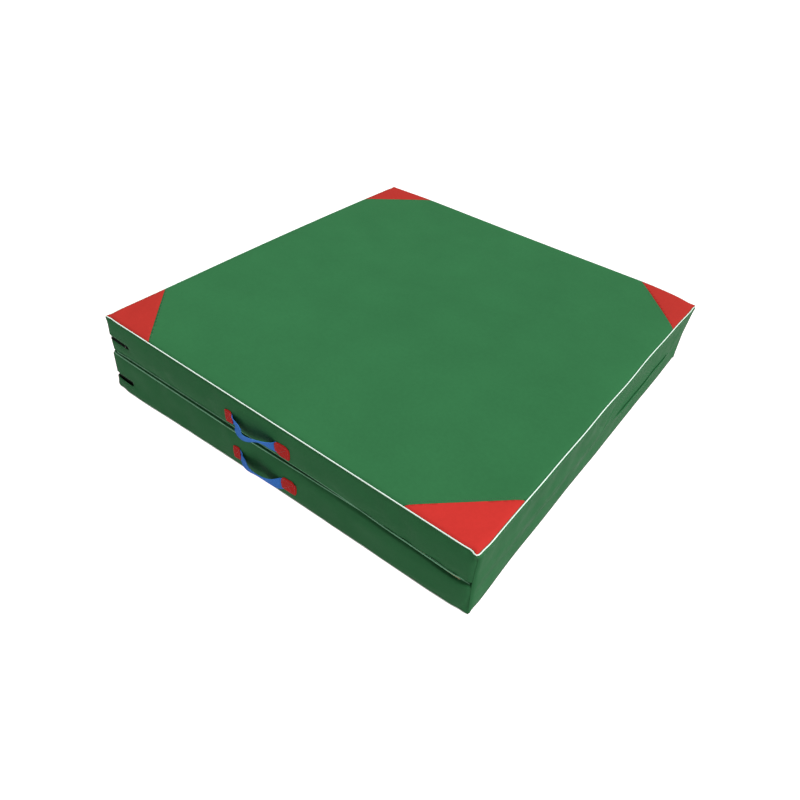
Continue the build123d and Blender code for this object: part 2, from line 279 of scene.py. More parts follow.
def lean_shift(side, x, y, w):
    """The walls lean in towards the fold. The lower panel's front edges drop and stand out."""
    depth = depth_at(x)
    share = w / depth
    to_handle = HALF_Y + y
    start = LEAN_START[side]
    lean = np.clip((share - start) / (1 - start), 0, 1) ** 1.3
    dx = lean_past_zip(side, x, w)
    dy = HANDLE_SIDE_RECESS[side](x) * lean * near(to_handle, WALL_REACH)
    dy -= BACK_RECESS[side] * off_ends(x, HALF_X) * lean * near(HALF_Y - y, WALL_REACH)
    if side == "upper":
        return dx, dy, -FOLD_RISE(x) * share**2 * near(to_handle, 0.16)
    dx = dx + (LOWER_ZIP_RECESS * lean - ZIP_OVERHANG) * near(HALF_X + x, WALL_REACH)
    dy -= FRONT_FLARE(x) * near(to_handle, 60 * MM) * near(w, 24 * MM)
    dw = FOLD_RISE(x) * share**2 * near(to_handle, 0.16)
    return dx, dy, dw - FRONT_GAP(x) * near(to_handle, 20 * MM) * near(depth - w, 9 * MM)


def flare_shift(side, x, y, w):
    """Some corners of the cover stand out."""
    dx, dy = np.zeros_like(x), np.zeros_like(x)
    for (which, sign_x, sign_y), (stands_x, stands_y) in FLARES.items():
        if which == side:
            corner = near(np.hypot(HALF_X - sign_x * x, HALF_Y - sign_y * y), 0.12)
            corner = corner * (1 - w / depth_at(x) if sign_x > 0 else 1)
            dx += sign_x * stands_x * corner
            dy += sign_y * stands_y * corner
    return dx, dy, 0


def belly_shift(side, x, y, w):
    """The walls bulge a little between their seams, and wander."""
    belly = MM * np.sin(np.pi * np.clip(w / depth_at(x), 0, 1))
    seed = SHAPE_SEED[side]
    front = (1.2 + 0.8 * ripple(x, 2 * w, 0.26, seed)) * near(HALF_Y + y, 60 * MM)
    back = (1.5 + 0.8 * ripple(x, 2 * w, 0.26, seed + 2)) * near(HALF_Y - y, 60 * MM)
    zip_end = (1.0 + 0.7 * ripple(y, 2 * w, 0.22, seed + 4)) * near(HALF_X + x, 60 * MM)
    return -belly * zip_end * off_ends(y, HALF_Y), belly * (back - front) * off_ends(x, HALF_X), 0


def slot_shift(side, x, y, w):
    """The placket beside the zip stands proud. On the side walls the slot rises and widens."""
    side_gap = HALF_Y - np.abs(y)
    off_zip = w - ZIP_HEIGHT[side]
    off_slot = np.abs(off_zip) - SLOT_HALF
    placket = 1.6 * MM * np.where(off_zip < 0, 1.0, 0.35) * near(off_slot, 7 * MM)
    beside_slot = ease((SLOT_END[side] + 12 * MM - x) / (12 * MM))
    wider = 0.5 * MM * np.sign(off_zip) * near(off_slot, 9 * MM) * near(side_gap, 30 * MM)
    rise = RETURN_RISE[side] * near(off_zip, 16 * MM) * near(side_gap, 9 * MM)
    dx = -placket * near(HALF_X + x, 20 * MM) * ease(side_gap / (6 * MM))
    dy = np.sign(y) * placket * near(side_gap, 20 * MM) * beside_slot
    return dx, dy, (wider - rise) * beside_slot


def hinge_shift(side, x, y, w):
    """The hinge wall has the rolls and creases of the strip that is sewn over it."""
    world_z = place(side, np.column_stack([x, y, w]))[:, 2]
    relief = hinge_relief(y, world_z) * (0.12 + 0.88 * ease((HALF_Y - np.abs(y)) / (30 * MM)))
    return relief * near(HALF_X - x, 25 * MM) * ease((w - 6 * MM) / (12 * MM)), 0, 0


def face_shift(side, x, y, w):
    """The outer face and its edges: nearly straight at the front, bowed at the back."""
    side_gap = HALF_Y - np.abs(y)
    by_hinge_seam = near(np.hypot(HALF_X - x, w), 30 * MM) * ease(side_gap / (60 * MM))
    seed = SHAPE_SEED[side]
    dx = 0.5 * MM * ripple(y, 0 * y, 0.17, seed + 6) * by_hinge_seam
    if side == "lower":
        return dx, 0, 0
    to_back = np.clip((y + HALF_Y) / (2 * HALF_Y), 0, 1)
    to_zip = np.clip((HALF_X - x) / (2 * HALF_X), 0, 1)
    bow = BACK_BOW(x) * to_back**3 + 6 * MM * (1 - (y / HALF_Y) ** 2) * to_zip**3
    gap = np.minimum(HALF_X - np.abs(x), side_gap)
    bow = bow + 0.45 * MM * ripple(x, y, 0.34, 21) * ease(gap / 0.08)
    dw = 0.5 * MM * ripple(y, 0 * y, 0.2, seed + 8) * by_hinge_seam
    return dx, 0, dw - bow * (1 - w / depth_at(x)) ** 2


def pull_ears(side, x, y, w):
    """The piping's turn pulls each corner of the outer face to a point."""
    for sign_x in (-1, 1):
        for sign_y in (-1, 1):
            pull_x, pull_y = EARS.get((side, sign_x, sign_y), SMALL_EAR)
            gap_x, gap_y = sign_x * HALF_X - x, sign_y * HALF_Y - y
            amount = near(np.hypot(gap_x, gap_y), 8 * MM) * near(w, 12 * MM)
            x = x + sign_x * pull_x * amount
            y = y + sign_y * pull_y * amount
            beside = 2.2 * MM * near(np.hypot(gap_x, gap_y) - 16 * MM, 7 * MM) * near(w, 12 * MM)
            x = x - sign_x * beside * near(gap_x, 12 * MM)
            y = y - sign_y * beside * near(gap_y, 12 * MM)
    return x, y


def soften(side, points, inner_seam=1.0):
    """Takes a point of the plain box-shaped panel to its place in the real, soft one."""
    x, y, w = np.array(points, float).T
    shifts = [seam_shift(side, x, y, w, inner_seam)]
    for shift in (lean_shift, flare_shift, belly_shift, slot_shift, hinge_shift, face_shift):
        shifts.append(shift(side, x, y, w))
    dx, dy, dw = (sum(parts) for parts in zip(*shifts))
    x, y = corner_round(x + dx, y + dy, w)
    w = w + dw
    x, y = pull_ears(side, x, y, w)
    if side == "lower":
        w = np.maximum(w, FLOOR_GAP)
    return np.column_stack([x, y, w])


# --- meshes ---


def linked(name, mesh):
    obj = bpy.data.objects.new(name, mesh)
    bpy.context.scene.collection.objects.link(obj)
    return obj


def new_object(name, points, faces):
    mesh = bpy.data.meshes.new(name)
    mesh.from_pydata([tuple(p) for p in points], [], [tuple(f) for f in faces])
    mesh.validate()
    mesh.shade_smooth()
    return linked(name, mesh)


def oriented(points, faces):
    """Turns the faces of a closed mesh outward."""
    bm = bmesh.new()
    made = [bm.verts.new(p) for p in points]
    for face in faces:
        bm.faces.new([made[i] for i in face])
    bmesh.ops.recalc_face_normals(bm, faces=bm.faces)
    return bm


def object_from(bm, name):
    mesh = bpy.data.meshes.new(name)
    bm.to_mesh(mesh)
    bm.free()
    mesh.shade_smooth()
    return linked(name, mesh)


def grid_faces(rows, columns):
    """The quads of a grid whose points are listed row by row."""
    return [
        [r * columns + c, r * columns + c + 1, (r + 1) * columns + c + 1, (r + 1) * columns + c]
        for r in range(rows - 1)
        for c in range(columns - 1)
    ]


def joined(parts):
    """Several skins, each as points and faces, as one."""
    verts, faces = [], []
    for points, own_faces in parts:
        faces += [[i + len(verts) for i in face] for face in own_faces]
        verts += list(points)
    return np.array(verts), faces


def facing(side, faces):
    """A reflection turns faces inside out, so the upper panel's are wound the other way."""
    return [f[::-1] for f in faces] if side == "upper" else faces


def apply_modifiers(obj):
    graph = bpy.context.evaluated_depsgraph_get()
    mesh = bpy.data.meshes.new_from_object(obj.evaluated_get(graph))
    obj.modifiers.clear()
    obj.data = mesh
    mesh.shade_smooth()
    return obj


def subdivide(obj, levels=1):
    modifier = obj.modifiers.new("smooth", "SUBSURF")
    modifier.levels = modifier.render_levels = levels
    modifier.boundary_smooth = "PRESERVE_CORNERS"
    return apply_modifiers(obj)


def thicken(obj, thickness):
    modifier = obj.modifiers.new("cloth", "SOLIDIFY")
    modifier.thickness = thickness
    modifier.offset = -1
    return apply_modifiers(obj)


def coordinates(obj):
    co = np.empty(len(obj.data.vertices) * 3)
    obj.data.vertices.foreach_get("co", co)
    return co.reshape(-1, 3)


def set_coordinates(obj, points):
    obj.data.vertices.foreach_set("co", np.asarray(points, np.float32).ravel())
    obj.data.update()


def add_uv(obj, per_vertex):
    """Coordinates for the weave, one pair for each vertex."""
    layer = obj.data.uv_layers.new(name="weave")
    index = np.empty(len(obj.data.loops), int)
    obj.data.loops.foreach_get("vertex_index", index)
    layer.data.foreach_set("uv", np.asarray(per_vertex, np.float32)[index].ravel())


def remove(obj):
    bpy.data.objects.remove(obj)


def finish_piece(obj, material, body=None, nodes=()):
    obj.data.materials.clear()
    obj.data.materials.append(material)
    if body:
        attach(obj, body)
    if nodes:
        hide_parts(*nodes)
    return obj


# --- the skin: one closed mesh per panel, simulated, then cut along its seams ---


def graded(half, pitch, always=()):
    """Grid lines from -half to half, close together by the seams."""
    by_edge = [half - gap * MM for gap in (0, 3, 6.5, 11, 17, 26, 38)]
    inner = half - 52 * MM
    middle = list(np.linspace(-inner, inner, round(2 * inner / pitch) + 1))
    lines = np.array(sorted([-e for e in by_edge] + middle + by_edge))
    for place_needed in always:
        lines[np.argmin(np.abs(lines - place_needed))] = place_needed
    return lines


def wall_rows(side):
    """Rows of the wall as shares of its depth. Two of them run along the zip's slot."""
    full = depth_at(-HALF_X)
    slot = [ZIP_HEIGHT[side] - SLOT_HALF, ZIP_HEIGHT[side] + SLOT_HALF]
    fixed = [0, 3 * MM, 6 * MM, 11 * MM, 17 * MM] + slot
    fixed += [full - gap * MM for gap in (12, 7.5, 4, 1.8, 0)]
    fixed.sort()
    rows = []
    for low, high in zip(fixed, fixed[1:]):
        count = max(1, math.ceil((high - low) / (7 * MM)))
        if low in slot and high in slot:
            count = 2
        rows += list(np.linspace(low, high, count + 1)[:-1])
    rows.append(full)
    return np.array(rows) / full, np.array(slot) / full


def box_grid(xs, ys, shares):
    """A closed box of quads. Returns its plain points and faces, each face with its wall's name."""
    index, points = {}, []

    def vertex(i, j, k):
        if (i, j, k) not in index:
            index[i, j, k] = len(points)
            points.append((xs[i], ys[j], shares[k] * depth_at(xs[i])))
        return index[i, j, k]

    faces, names = [], []

    def quad(name, *corners):
        faces.append([vertex(*corner) for corner in corners])
        names.append(name)

    nx, ny, nw = len(xs) - 1, len(ys) - 1, len(shares) - 1
    for i in range(nx):
        for j in range(ny):
            quad("outer_face", (i, j, 0), (i, j + 1, 0), (i + 1, j + 1, 0), (i + 1, j, 0))
            quad("inner_face", (i, j, nw), (i + 1, j, nw), (i + 1, j + 1, nw), (i, j + 1, nw))
        for k in range(nw):
            quad("handle_wall", (i, 0, k), (i + 1, 0, k), (i + 1, 0, k + 1), (i, 0, k + 1))
            quad("back_wall", (i, ny, k), (i, ny, k + 1), (i + 1, ny, k + 1), (i + 1, ny, k))
    for j in range(ny):
        for k in range(nw):
            quad("hinge_wall", (nx, j, k), (nx, j + 1, k), (nx, j + 1, k + 1), (nx, j, k + 1))
            quad("zip_wall", (0, j, k), (0, j, k + 1), (0, j + 1, k + 1), (0, j + 1, k))
    return np.array(points), faces, names


def settle(points, faces, held, room):
    """Blender's cloth simulation blows the cover up slightly, like cloth over compressed foam.
    held are the sewn vertices, and room is how far each of the others may move."""
    obj = new_object("settling", points, faces)
    group = obj.vertex_groups.new(name="sewn")
    group.add([int(i) for i in np.flatnonzero(held)], 1.0, "REPLACE")
    cloth = obj.modifiers.new("cloth", "CLOTH")
    cloth.settings.quality = 4
    cloth.settings.mass = 0.4
    cloth.settings.tension_stiffness = 20
    cloth.settings.compression_stiffness = 20
    cloth.settings.bending_stiffness = 0.6
    cloth.settings.use_pressure = True
    cloth.settings.uniform_pressure_force = 4
    cloth.settings.shrink_min = -0.012
    cloth.settings.vertex_group_mass = "sewn"
    cloth.settings.effector_weights.gravity = 0
    scene = bpy.context.scene
    for number in range(1, 21):
        scene.frame_set(number)
    graph = bpy.context.evaluated_depsgraph_get()
    moved = np.array([v.co for v in obj.evaluated_get(graph).data.vertices]) - points
    remove(obj)
    scene.frame_set(1)
    length = np.linalg.norm(moved, axis=1) + 1e-9
    capped = room * np.tanh(length / np.maximum(room, 1e-9))
    return moved * (np.where(room > 0, capped, 0) / length)[:, None]


def room_to_move(side, plain):
    """The cap on the simulated movement: most on the walls, none where a panel lies on something."""
    x, y, w = plain.T
    share = w / depth_at(x)
    on_wall = (share > 1e-6) & (share < 1 - 1e-6)
    top = (share <= 1e-6) & (side == "upper")
    gap = np.minimum(HALF_X - np.abs(x), HALF_Y - np.abs(y))
    room = np.where(on_wall, 2.2 * MM, 0.0)
    room = np.where(on_wall & (HALF_X - x < 1 * MM), 0.5 * MM, room)
    room = np.where(top, 0.9 * MM, room)
    room = np.where(top & (gap < 12 * MM), 0.0, room)
    off_zip = np.abs(w - ZIP_HEIGHT[side])
    by_slot = (off_zip < 2 * SLOT_HALF) & (x < SLOT_END[side] + 5 * MM)
    return np.where(by_slot, 0.0, room)


def pieces_of_skin(side):
    """The panel's skin as arrays: softened points, and the faces of each piece of cloth."""
    xs = graded(HALF_X, 18 * MM, always=(SLOT_END[side],))
    ys = graded(HALF_Y, 18 * MM)
    shares, slot = wall_rows(side)
    plain, faces, names = box_grid(xs, ys, shares)
    points = soften(side, plain)
    x, y, w = plain.T
    ends = np.abs(np.abs(x) - HALF_X) < 1e-6
    flanks = np.abs(np.abs(y) - HALF_Y) < 1e-6
    caps = (w < 1e-6) | (np.abs(w - depth_at(x)) < 1e-6)
    held = ends.astype(int) + flanks + caps >= 2
    points = points + settle(points, faces, held, room_to_move(side, plain))
    if side == "lower":
        points[:, 2] = np.maximum(points[:, 2], FLOOR_GAP)
    groups = {}
    for face, name in zip(faces, names):
        middle = plain[face].mean(axis=0)
        share = middle[2] / depth_at(middle[0])
        in_slot = slot[0] < share < slot[1]
        if name == "zip_wall":
            name = "slot" if in_slot else f"zip_wall_{'outer' if share < slot[0] else 'inner'}_strip"
        elif name in ("handle_wall", "back_wall") and in_slot and middle[0] < SLOT_END[side]:
            name = "slot"
        groups.setdefault(name, []).append(face)
    return points, groups


def seam_path(faces):
    """The boundary loop of a group of faces, as a list of vertex indices."""
    edges = {edge: None for face in faces for edge in zip(face, face[1:] + face[:1])}
    follow = {a: b for a, b in edges if (b, a) not in edges}
    start = next(iter(follow))
    loop = [start]
    while follow[loop[-1]] != start:
        loop.append(follow[loop[-1]])
    return loop


def cloth_piece(name, side, points, faces, levels=1):
    used = sorted({i for face in faces for i in face})
    renumber = {old: new for new, old in enumerate(used)}
    local = [[renumber[i] for i in face] for face in faces]
    obj = new_object(name, place(side, points[used]), facing(side, local))
    return subdivide(obj, levels)


# --- materials ---


def node(tree, kind, inputs=None, **settings):
    made = tree.nodes.new("ShaderNode" + kind)
    for key, value in settings.items():
        setattr(made, key, value)
    for key, value in (inputs or {}).items():
        if isinstance(value, bpy.types.NodeSocket):
            tree.links.new(value, made.inputs[key])
        else:
            made.inputs[key].default_value = value
    return made.outputs[0]


def ramp(tree, factor, *stops):
    """Colours or grey levels spread over a factor, as (place, colour) stops."""
    made = tree.nodes.new("ShaderNodeValToRGB")
    tree.links.new(factor, made.inputs[0])
    elements = made.color_ramp.elements
    while len(elements) < len(stops):
        elements.new(0.5)
    for element, (position, colour) in zip(elements, stops):
        element.position = position
        element.color = (*colour, 1) if hasattr(colour, "__len__") else (colour,) * 3 + (1,)
    return made.outputs[0]


def shader_socket(material, key):
    """The shader's socket for a name such as specular_ior_level."""
    shown = key.replace("_", " ").title().replace("Ior", "IOR")
    return material.node_tree.nodes["Principled BSDF"].inputs[shown]


def shader(name, **values):
    material = bpy.data.materials.new(name)
    material.use_nodes = True
    for key, value in values.items():
        shader_socket(material, key).default_value = value
    return material, material.node_tree


def wired(material, **textures):
    """Links textures to the shader's sockets."""
    for key, texture in textures.items():
        material.node_tree.links.new(texture, shader_socket(material, key))
    return material


def shade(colour, factor):
    return tuple(c * factor for c in colour)


def coordinates_node(tree, kind="Object"):
    return tree.nodes.new("ShaderNodeTexCoord").outputs[kind]


def noise(tree, where, scale, detail, **more):
    return node(tree, "TexNoise", {"Vector": where, "Scale": scale, "Detail": detail, **more})


def bumped(tree, height, strength, distance, **more):
    inputs = {"Height": height, "Strength": strength, "Distance": distance, **more}
    return node(tree, "Bump", inputs)


def coated_cloth(name, colour):
    """Vinyl-coated cloth: a fine pebbled grain over the weave, cloudy colour, rubbed patches."""
    material, tree = shader(name, specular_ior_level=0.02)
    where = coordinates_node(tree)
    cloud = noise(tree, where, 7.0, 5.0, Roughness=0.55)
    fine = noise(tree, where, 130.0, 4.0)
    clouded = ramp(tree, cloud, (0.3, shade(colour, 0.94)), (0.55, colour), (0.75, shade(colour, 1.05)))
    speck = ramp(tree, fine, (0.35, 0.975), (0.65, 1.02))
    mixed = tree.nodes.new("ShaderNodeMix")
    mixed.data_type, mixed.blend_type = "RGBA", "MULTIPLY"
    mixed.inputs["Factor"].default_value = 1.0
    tree.links.new(clouded, mixed.inputs["A"])
    tree.links.new(speck, mixed.inputs["B"])
    roughness = ramp(tree, noise(tree, where, 22.0, 6.0), (0.3, 0.54), (0.7, 0.7))
    pebble = node(tree, "TexVoronoi", {"Vector": where, "Scale": 620.0}, feature="F1")
    grain = bumped(tree, pebble, 0.35, 0.25 * MM)
    bump = bumped(tree, noise(tree, where, 26.0, 3.0), 0.25, 1.2 * MM, Normal=grain)
    return wired(material, base_color=mixed.outputs["Result"], roughness=roughness, normal=bump)


def vinyl(name, colour, shine=0.2):
    """Extruded piping: smooth vinyl with faint scuffs and flow marks."""
    material, tree = shader(name, specular_ior_level=shine)
    scuffs = noise(tree, coordinates_node(tree), 60.0, 6.0)
    tint = ramp(tree, scuffs, (0.28, shade(colour, 0.86)), (0.5, colour))
    roughness = ramp(tree, scuffs, (0.3, 0.55), (0.6, 0.35))
    bump = bumped(tree, scuffs, 0.2, 0.3 * MM)
    return wired(material, base_color=tint, roughness=roughness, normal=bump)


def woven(name, colour, ribs_along=1.9, ribs_across=13):
    """Webbing: a woven rib pattern from UV coordinates, in which u counts millimetres along
    the strap and v runs across it from 0 to 1."""
    material, tree = shader(name, specular_ior_level=0.03, roughness=0.75)
    parts = tree.nodes.new("ShaderNodeSeparateXYZ")
    tree.links.new(coordinates_node(tree, "UV"), parts.inputs[0])
    heights = []
    for axis, rate in enumerate((2 * math.pi / ribs_along, 2 * math.pi * ribs_across)):
        scaled = node(tree, "Math", {0: parts.outputs[axis], 1: rate}, operation="MULTIPLY")
        heights.append(node(tree, "Math", {0: scaled}, operation="SINE"))
    weave = node(tree, "Math", {0: heights[0], 1: heights[1]}, operation="MULTIPLY")
    level = node(tree, "MapRange", {"Value": weave, "From Min": -1.0, "From Max": 1.0})
    tint = ramp(tree, level, (0.0, shade(colour, 0.62)), (0.5, colour), (1.0, shade(colour, 1.22)))
    return wired(material, base_color=tint, normal=bumped(tree, level, 0.6, 0.35 * MM))


def thread(name, colour):
    """Sewing thread: fine diagonal twist marks."""
    material, tree = shader(name, roughness=0.6, specular_ior_level=0.3, sheen_weight=0.2)
    inputs = {"Vector": coordinates_node(tree), "Scale": 900.0, "Distortion": 1.0}
    twist = node(tree, "TexWave", inputs, bands_direction="DIAGONAL")
    tint = ramp(tree, twist, (0.2, shade(colour, 0.8)), (0.8, shade(colour, 1.15)))
    return wired(material, base_color=tint, normal=bumped(tree, twist, 0.4, 0.1 * MM))


def foam(name, colour, cells):
    material, tree = shader(name, roughness=0.95, specular_ior_level=0.1)
    pores = node(tree, "TexVoronoi", {"Vector": coordinates_node(tree), "Scale": cells})
    tint = ramp(tree, pores, (0.1, shade(colour, 0.55)), (0.5, colour))
    return wired(material, base_color=tint, normal=bumped(tree, pores, 0.7, 1 * MM))


def painted_metal(name, colour):
    """Die-cast zinc with a matt black paint and light wear."""
    material, tree = shader(name, specular_ior_level=0.2)
    wear = noise(tree, coordinates_node(tree), 240.0, 5.0)
    tint = ramp(tree, wear, (0.35, shade(colour, 0.7)), (0.65, colour))
    roughness = ramp(tree, wear, (0.3, 0.42), (0.7, 0.6))
    bump = bumped(tree, wear, 0.3, 0.2 * MM)
    return wired(material, base_color=tint, roughness=roughness, normal=bump)


GREEN = (0.0195, 0.096, 0.035)
RED = (0.34, 0.021, 0.017)
# Painted shade: a darker copy of the red cloth for every corner patch except the hinge end's handle-side one,
# standing in for the dimmer light on them.
SHADED_RED = (0.262, 0.019, 0.0145)
MATERIALS = {
    "cover_green": coated_cloth("green_coated_cloth", GREEN),
    "cover_red": coated_cloth("red_coated_cloth", RED),
    "handle_patch_red": coated_cloth("dark_red_cloth", (0.29, 0.015, 0.012)),
    "webbing_blue": woven("blue_webbing", (0.031, 0.13, 0.40)),
    # The white piping's base colour carries a green tint: painted reflection of the green cloth beside it.
    "piping_white": vinyl("white_vinyl_piping", (0.50, 0.61, 0.54)),
    "piping_pale_green": vinyl("pale_green_vinyl_piping", (0.125, 0.32, 0.185)),
    "foam_firm": foam("firm_foam", (0.62, 0.62, 0.58), 500.0),
    "foam_soft": foam("soft_foam", (0.60, 0.52, 0.32), 380.0),
    "zip_tape": woven("zip_tape_weave", (0.006, 0.011, 0.008), ribs_along=1.2, ribs_across=12),
    "zip_coil": vinyl("zip_coil_nylon", (0.008, 0.012, 0.009), shine=0.04),
    "zip_metal": painted_metal("black_zip_zinc", (0.012, 0.013, 0.013)),
}
GREEN_THREAD = thread("green_thread", shade(GREEN, 0.75))
SHADED_RED_CLOTH = coated_cloth("worn_red_coated_cloth", SHADED_RED)
RED_THREAD = thread("red_thread", (0.30, 0.03, 0.03))


# --- building the cover ---

CLOTH = 1.2 * MM
SEAM_RIDGE = 0.25 * MM
END_SIGN = {"zip": -1, "hinge": 1}
FLANK_SIGN = {"handle": -1, "back": 1}


def outer_surface(obj):
    """The seen side of a piece of cloth, for things that lie on it."""
    mesh = obj.data
    return BVHTree.FromPolygons([v.co.copy() for v in mesh.vertices], [p.vertices[:] for p in mesh.polygons])


def add_puckers(side, obj, name):
    """Small gathers where the walls are sewn to the piping, and faint waves across the middle of the walls.
    """
    points = place(side, coordinates(obj))
    x, y, w = points.T
    depth = depth_at(x)
    if name in ("handle_wall", "back_wall"):
        run, axis, sign = x, 1, (-1 if name == "handle_wall" else 1)
    elif "wall" in name:
        run, axis, sign = y, 0, (1 if name == "hinge_wall" else -1)
    else:
        return
    seed = 31 + len(name) + (7 if side == "upper" else 0)
    gathers = near(w - 10 * MM, 9 * MM) + near(depth - w - 9 * MM, 9 * MM)
    strength = 0.5 + 0.5 * ripple(run, 0 * run, 0.3, seed + 1)
    amount = 0.35 * MM * gathers * strength * ripple(run + 0.3 * w, 0 * run, 0.034, seed)
    amount += 0.5 * MM * ripple(run, 1.5 * w, 0.09, seed + 2) * near(w - depth / 2, 30 * MM)
    points[:, axis] += sign * amount
    set_coordinates(obj, place(side, points))


def cut_corners(side, obj):
    """Cuts the outer face along the seams of its four triangles, and returns the five pieces."""
    bm = bmesh.new()
    bm.from_mesh(obj.data)
    lines = {}
    for (end, flank), (leg_x, leg_y) in PATCH_LEGS.items():
        sign_x, sign_y = END_SIGN[end], FLANK_SIGN[flank]
        middle = np.array([[sign_x * (HALF_X - leg_x / 2), sign_y * (HALF_Y - leg_y / 2), 0]])
        outward = np.array([[sign_x * leg_y, sign_y * leg_x, 0]]) / math.hypot(leg_x, leg_y)
        lines[f"corner_patch_{end}_{flank}"] = place(side, middle)[0], turn(side, outward)[0]
    for point, normal in lines.values():
        everything = bm.verts[:] + bm.edges[:] + bm.faces[:]
        bmesh.ops.bisect_plane(bm, geom=everything, plane_co=point, plane_no=normal)
    up = turn(side, np.array([[0, 0, 1.0]]))[0]
    for vertex in bm.verts:
        for point, normal in lines.values():
            off = float((np.array(vertex.co) - point) @ normal)
            vertex.co += Vector(up * SEAM_RIDGE * float(near(off, 1.6 * MM)))

    def owner(face):
        middle = np.array(face.calc_center_median())
        for name, (point, normal) in lines.items():
            if (middle - point) @ normal > 0:
                return name
        return "cover_outer_face"

    made = {}
    for name in (*lines, "cover_outer_face"):
        part = bm.copy()
        others = [face for face in part.faces if owner(face) != name]
        bmesh.ops.delete(part, geom=others, context="FACES")
        made[name] = object_from(part, f"{side}_{name}_cloth")
    bm.free()
    return made


def build_cover(side):
    """All cloth pieces of one panel. Returns the surfaces that stitches and patches lie on."""
    points, groups = pieces_of_skin(side)
    surfaces = {}
    for group, faces in groups.items():
        if group == "slot":
            continue
        obj = cloth_piece(f"{side}_uncut_{group}", side, points, faces)
        add_puckers(side, obj, group)
        surfaces[group] = outer_surface(obj)
        if group == "outer_face":
            parts = cut_corners(side, obj)
            remove(obj)
        else:
            obj.name = f"{side}_cover_{group}_cloth"
            parts = {f"cover_{group}": obj}
        for part, piece in parts.items():
            thicken(piece, CLOTH)
            patch = "patch" in part
            slot = "cover_red" if patch else "cover_green"
            # Painted shade: all corner patches but the hinge end's handle-side one get the darker red copy.
            shaded_patch = patch and part != "corner_patch_hinge_handle"
            material = SHADED_RED_CLOTH if shaded_patch else MATERIALS[slot]
            finish_piece(piece, material, f"{side}_panel", [f"{side}_{part}"])
    return points, groups, surfaces


# --- sweeps: piping, coils and straps ---


def sweep(path, across, over, sections, closed=False):
    """A skin along a path. across and over are the section's two axes at each point of the
    path, and sections gives the section's outline there, as one outline or one per point."""
    path, across, over = (np.asarray(a, float) for a in (path, across, over))
    sections = np.broadcast_to(sections, (len(path), *np.shape(sections)[-2:]))
    points = path[:, None] + sections[..., :1] * across[:, None] + sections[..., 1:] * over[:, None]
    count, ring = points.shape[:2]
    faces = []
    for i in range(count if closed else count - 1):
        j = (i + 1) % count
        for k in range(ring):
            n = (k + 1) % ring
            faces.append([i * ring + k, i * ring + n, j * ring + n, j * ring + k])
    if not closed:
        faces += [list(range(ring))[::-1], [(count - 1) * ring + k for k in range(ring)]]
    return points.reshape(-1, 3), faces


def circle(radius, sides):
    angle = np.arange(sides) * 2 * np.pi / sides
    return radius * np.column_stack([np.cos(angle), np.sin(angle)])


def tangents(path, closed=False):
    if closed:
        step = np.roll(path, -1, axis=0) - np.roll(path, 1, axis=0)
    else:
        step = np.gradient(path, axis=0)
    return step / np.linalg.norm(step, axis=1)[:, None]


def unit(vectors):
    return vectors / np.linalg.norm(vectors, axis=-1, keepdims=True)


def resample(path, pitch, closed=False):
    """Even steps along a path, through a smooth curve between its points."""
    if closed:
        path = np.vstack([path, path[:1]])
    length = np.concatenate([[0], np.cumsum(np.linalg.norm(np.diff(path, axis=0), axis=1))])
    count = max(2, round(length[-1] / pitch))
    at = np.linspace(0, length[-1], count + 1)
    even = np.column_stack([np.interp(at, length, path[:, k]) for k in range(3)])
    even = even[:-1] if closed else even
    for _ in range(2):
        if closed:
            even = (np.roll(even, 1, axis=0) + 2 * even + np.roll(even, -1, axis=0)) / 4
        else:
            even[1:-1] = (even[:-2] + 2 * even[1:-1] + even[2:]) / 4
    return even


# the lower panel lies on its outer piping, which is pressed in under the wall
OUTER_PIPING_OUT = {"upper": 2.2 * MM, "lower": 0.2 * MM}


def away_from_middle(path, closed=False):
    """The level way out of the panel, across a path round it."""
    side_way = unit(np.cross(tangents(path, closed), UP))
    return side_way * np.sign(np.sum(side_way * path, axis=1))[:, None]


def build_cord(side, name, path, outward, radius, slot, seed):
    """A slightly uneven cord along a path, closed if it goes all the way round."""
    run = np.linspace(0, 4, len(path))
    girth = 1 + 0.035 * ripple(run, 0 * run, 0.06, seed)
    sections = circle(radius, 12)[None] * girth[:, None, None]
    ways_up = np.broadcast_to(UP, path.shape)
    tube, faces = sweep(path, outward, ways_up, sections, closed=name == "outer_piping")
    obj = object_from(oriented(place(side, tube), faces), f"{side}_{name}_cord")
    finish_piece(obj, MATERIALS[slot], f"{side}_panel", [f"{side}_{name}"])


def build_outer_piping(side, loop):
    """The cord in the outer face's seam, all the way round."""
    path = resample(loop, 5 * MM, closed=True)
    outward = away_from_middle(path, closed=True)
    at_back = ease((outward[:, 1:2] - outward[:, :1] + 0.2) / 1.0)
    path = path + outward * (OUTER_PIPING_OUT[side] - 0.8 * MM * at_back)
    path = path + UP * (1.6 * at_back - 0.7) * MM
    if side == "lower":
        path[:, 2] = np.maximum(path[:, 2], 1.15 * OUTER_PIPING)
    build_cord(side, "outer_piping", path, outward, OUTER_PIPING, "piping_white", seed=41)


def build_inner_piping(side, loop):
    """The cord in the inner face's seam. Its two ends dive into the seam by the hinge."""
    hinge_end = loop[:, 0] > HALF_X - 7 * MM
    start = np.flatnonzero(hinge_end & ~np.roll(hinge_end, -1))[0]
    loop = np.roll(loop, -(start + 1), axis=0)
    path = resample(loop[loop[:, 0] <= HALF_X - 7 * MM], 5 * MM)
    outward = away_from_middle(path)
    buried = 1 - ease((HALF_X - 9 * MM - path[:, :1]) / (34 * MM))
    path = path + outward * (1.9 * MM - 4.2 * MM * buried) + UP * 0.4 * MM
    build_cord(side, "inner_piping", path, outward, INNER_PIPING, "piping_pale_green", seed=43)


def build_piping(side, points, groups):
    build_outer_piping(side, points[seam_path(groups["outer_face"])])
    build_inner_piping(side, points[seam_path(groups["inner_face"])])


# --- the hinge strip ---


STRIP_LIFT = 1.4 * MM
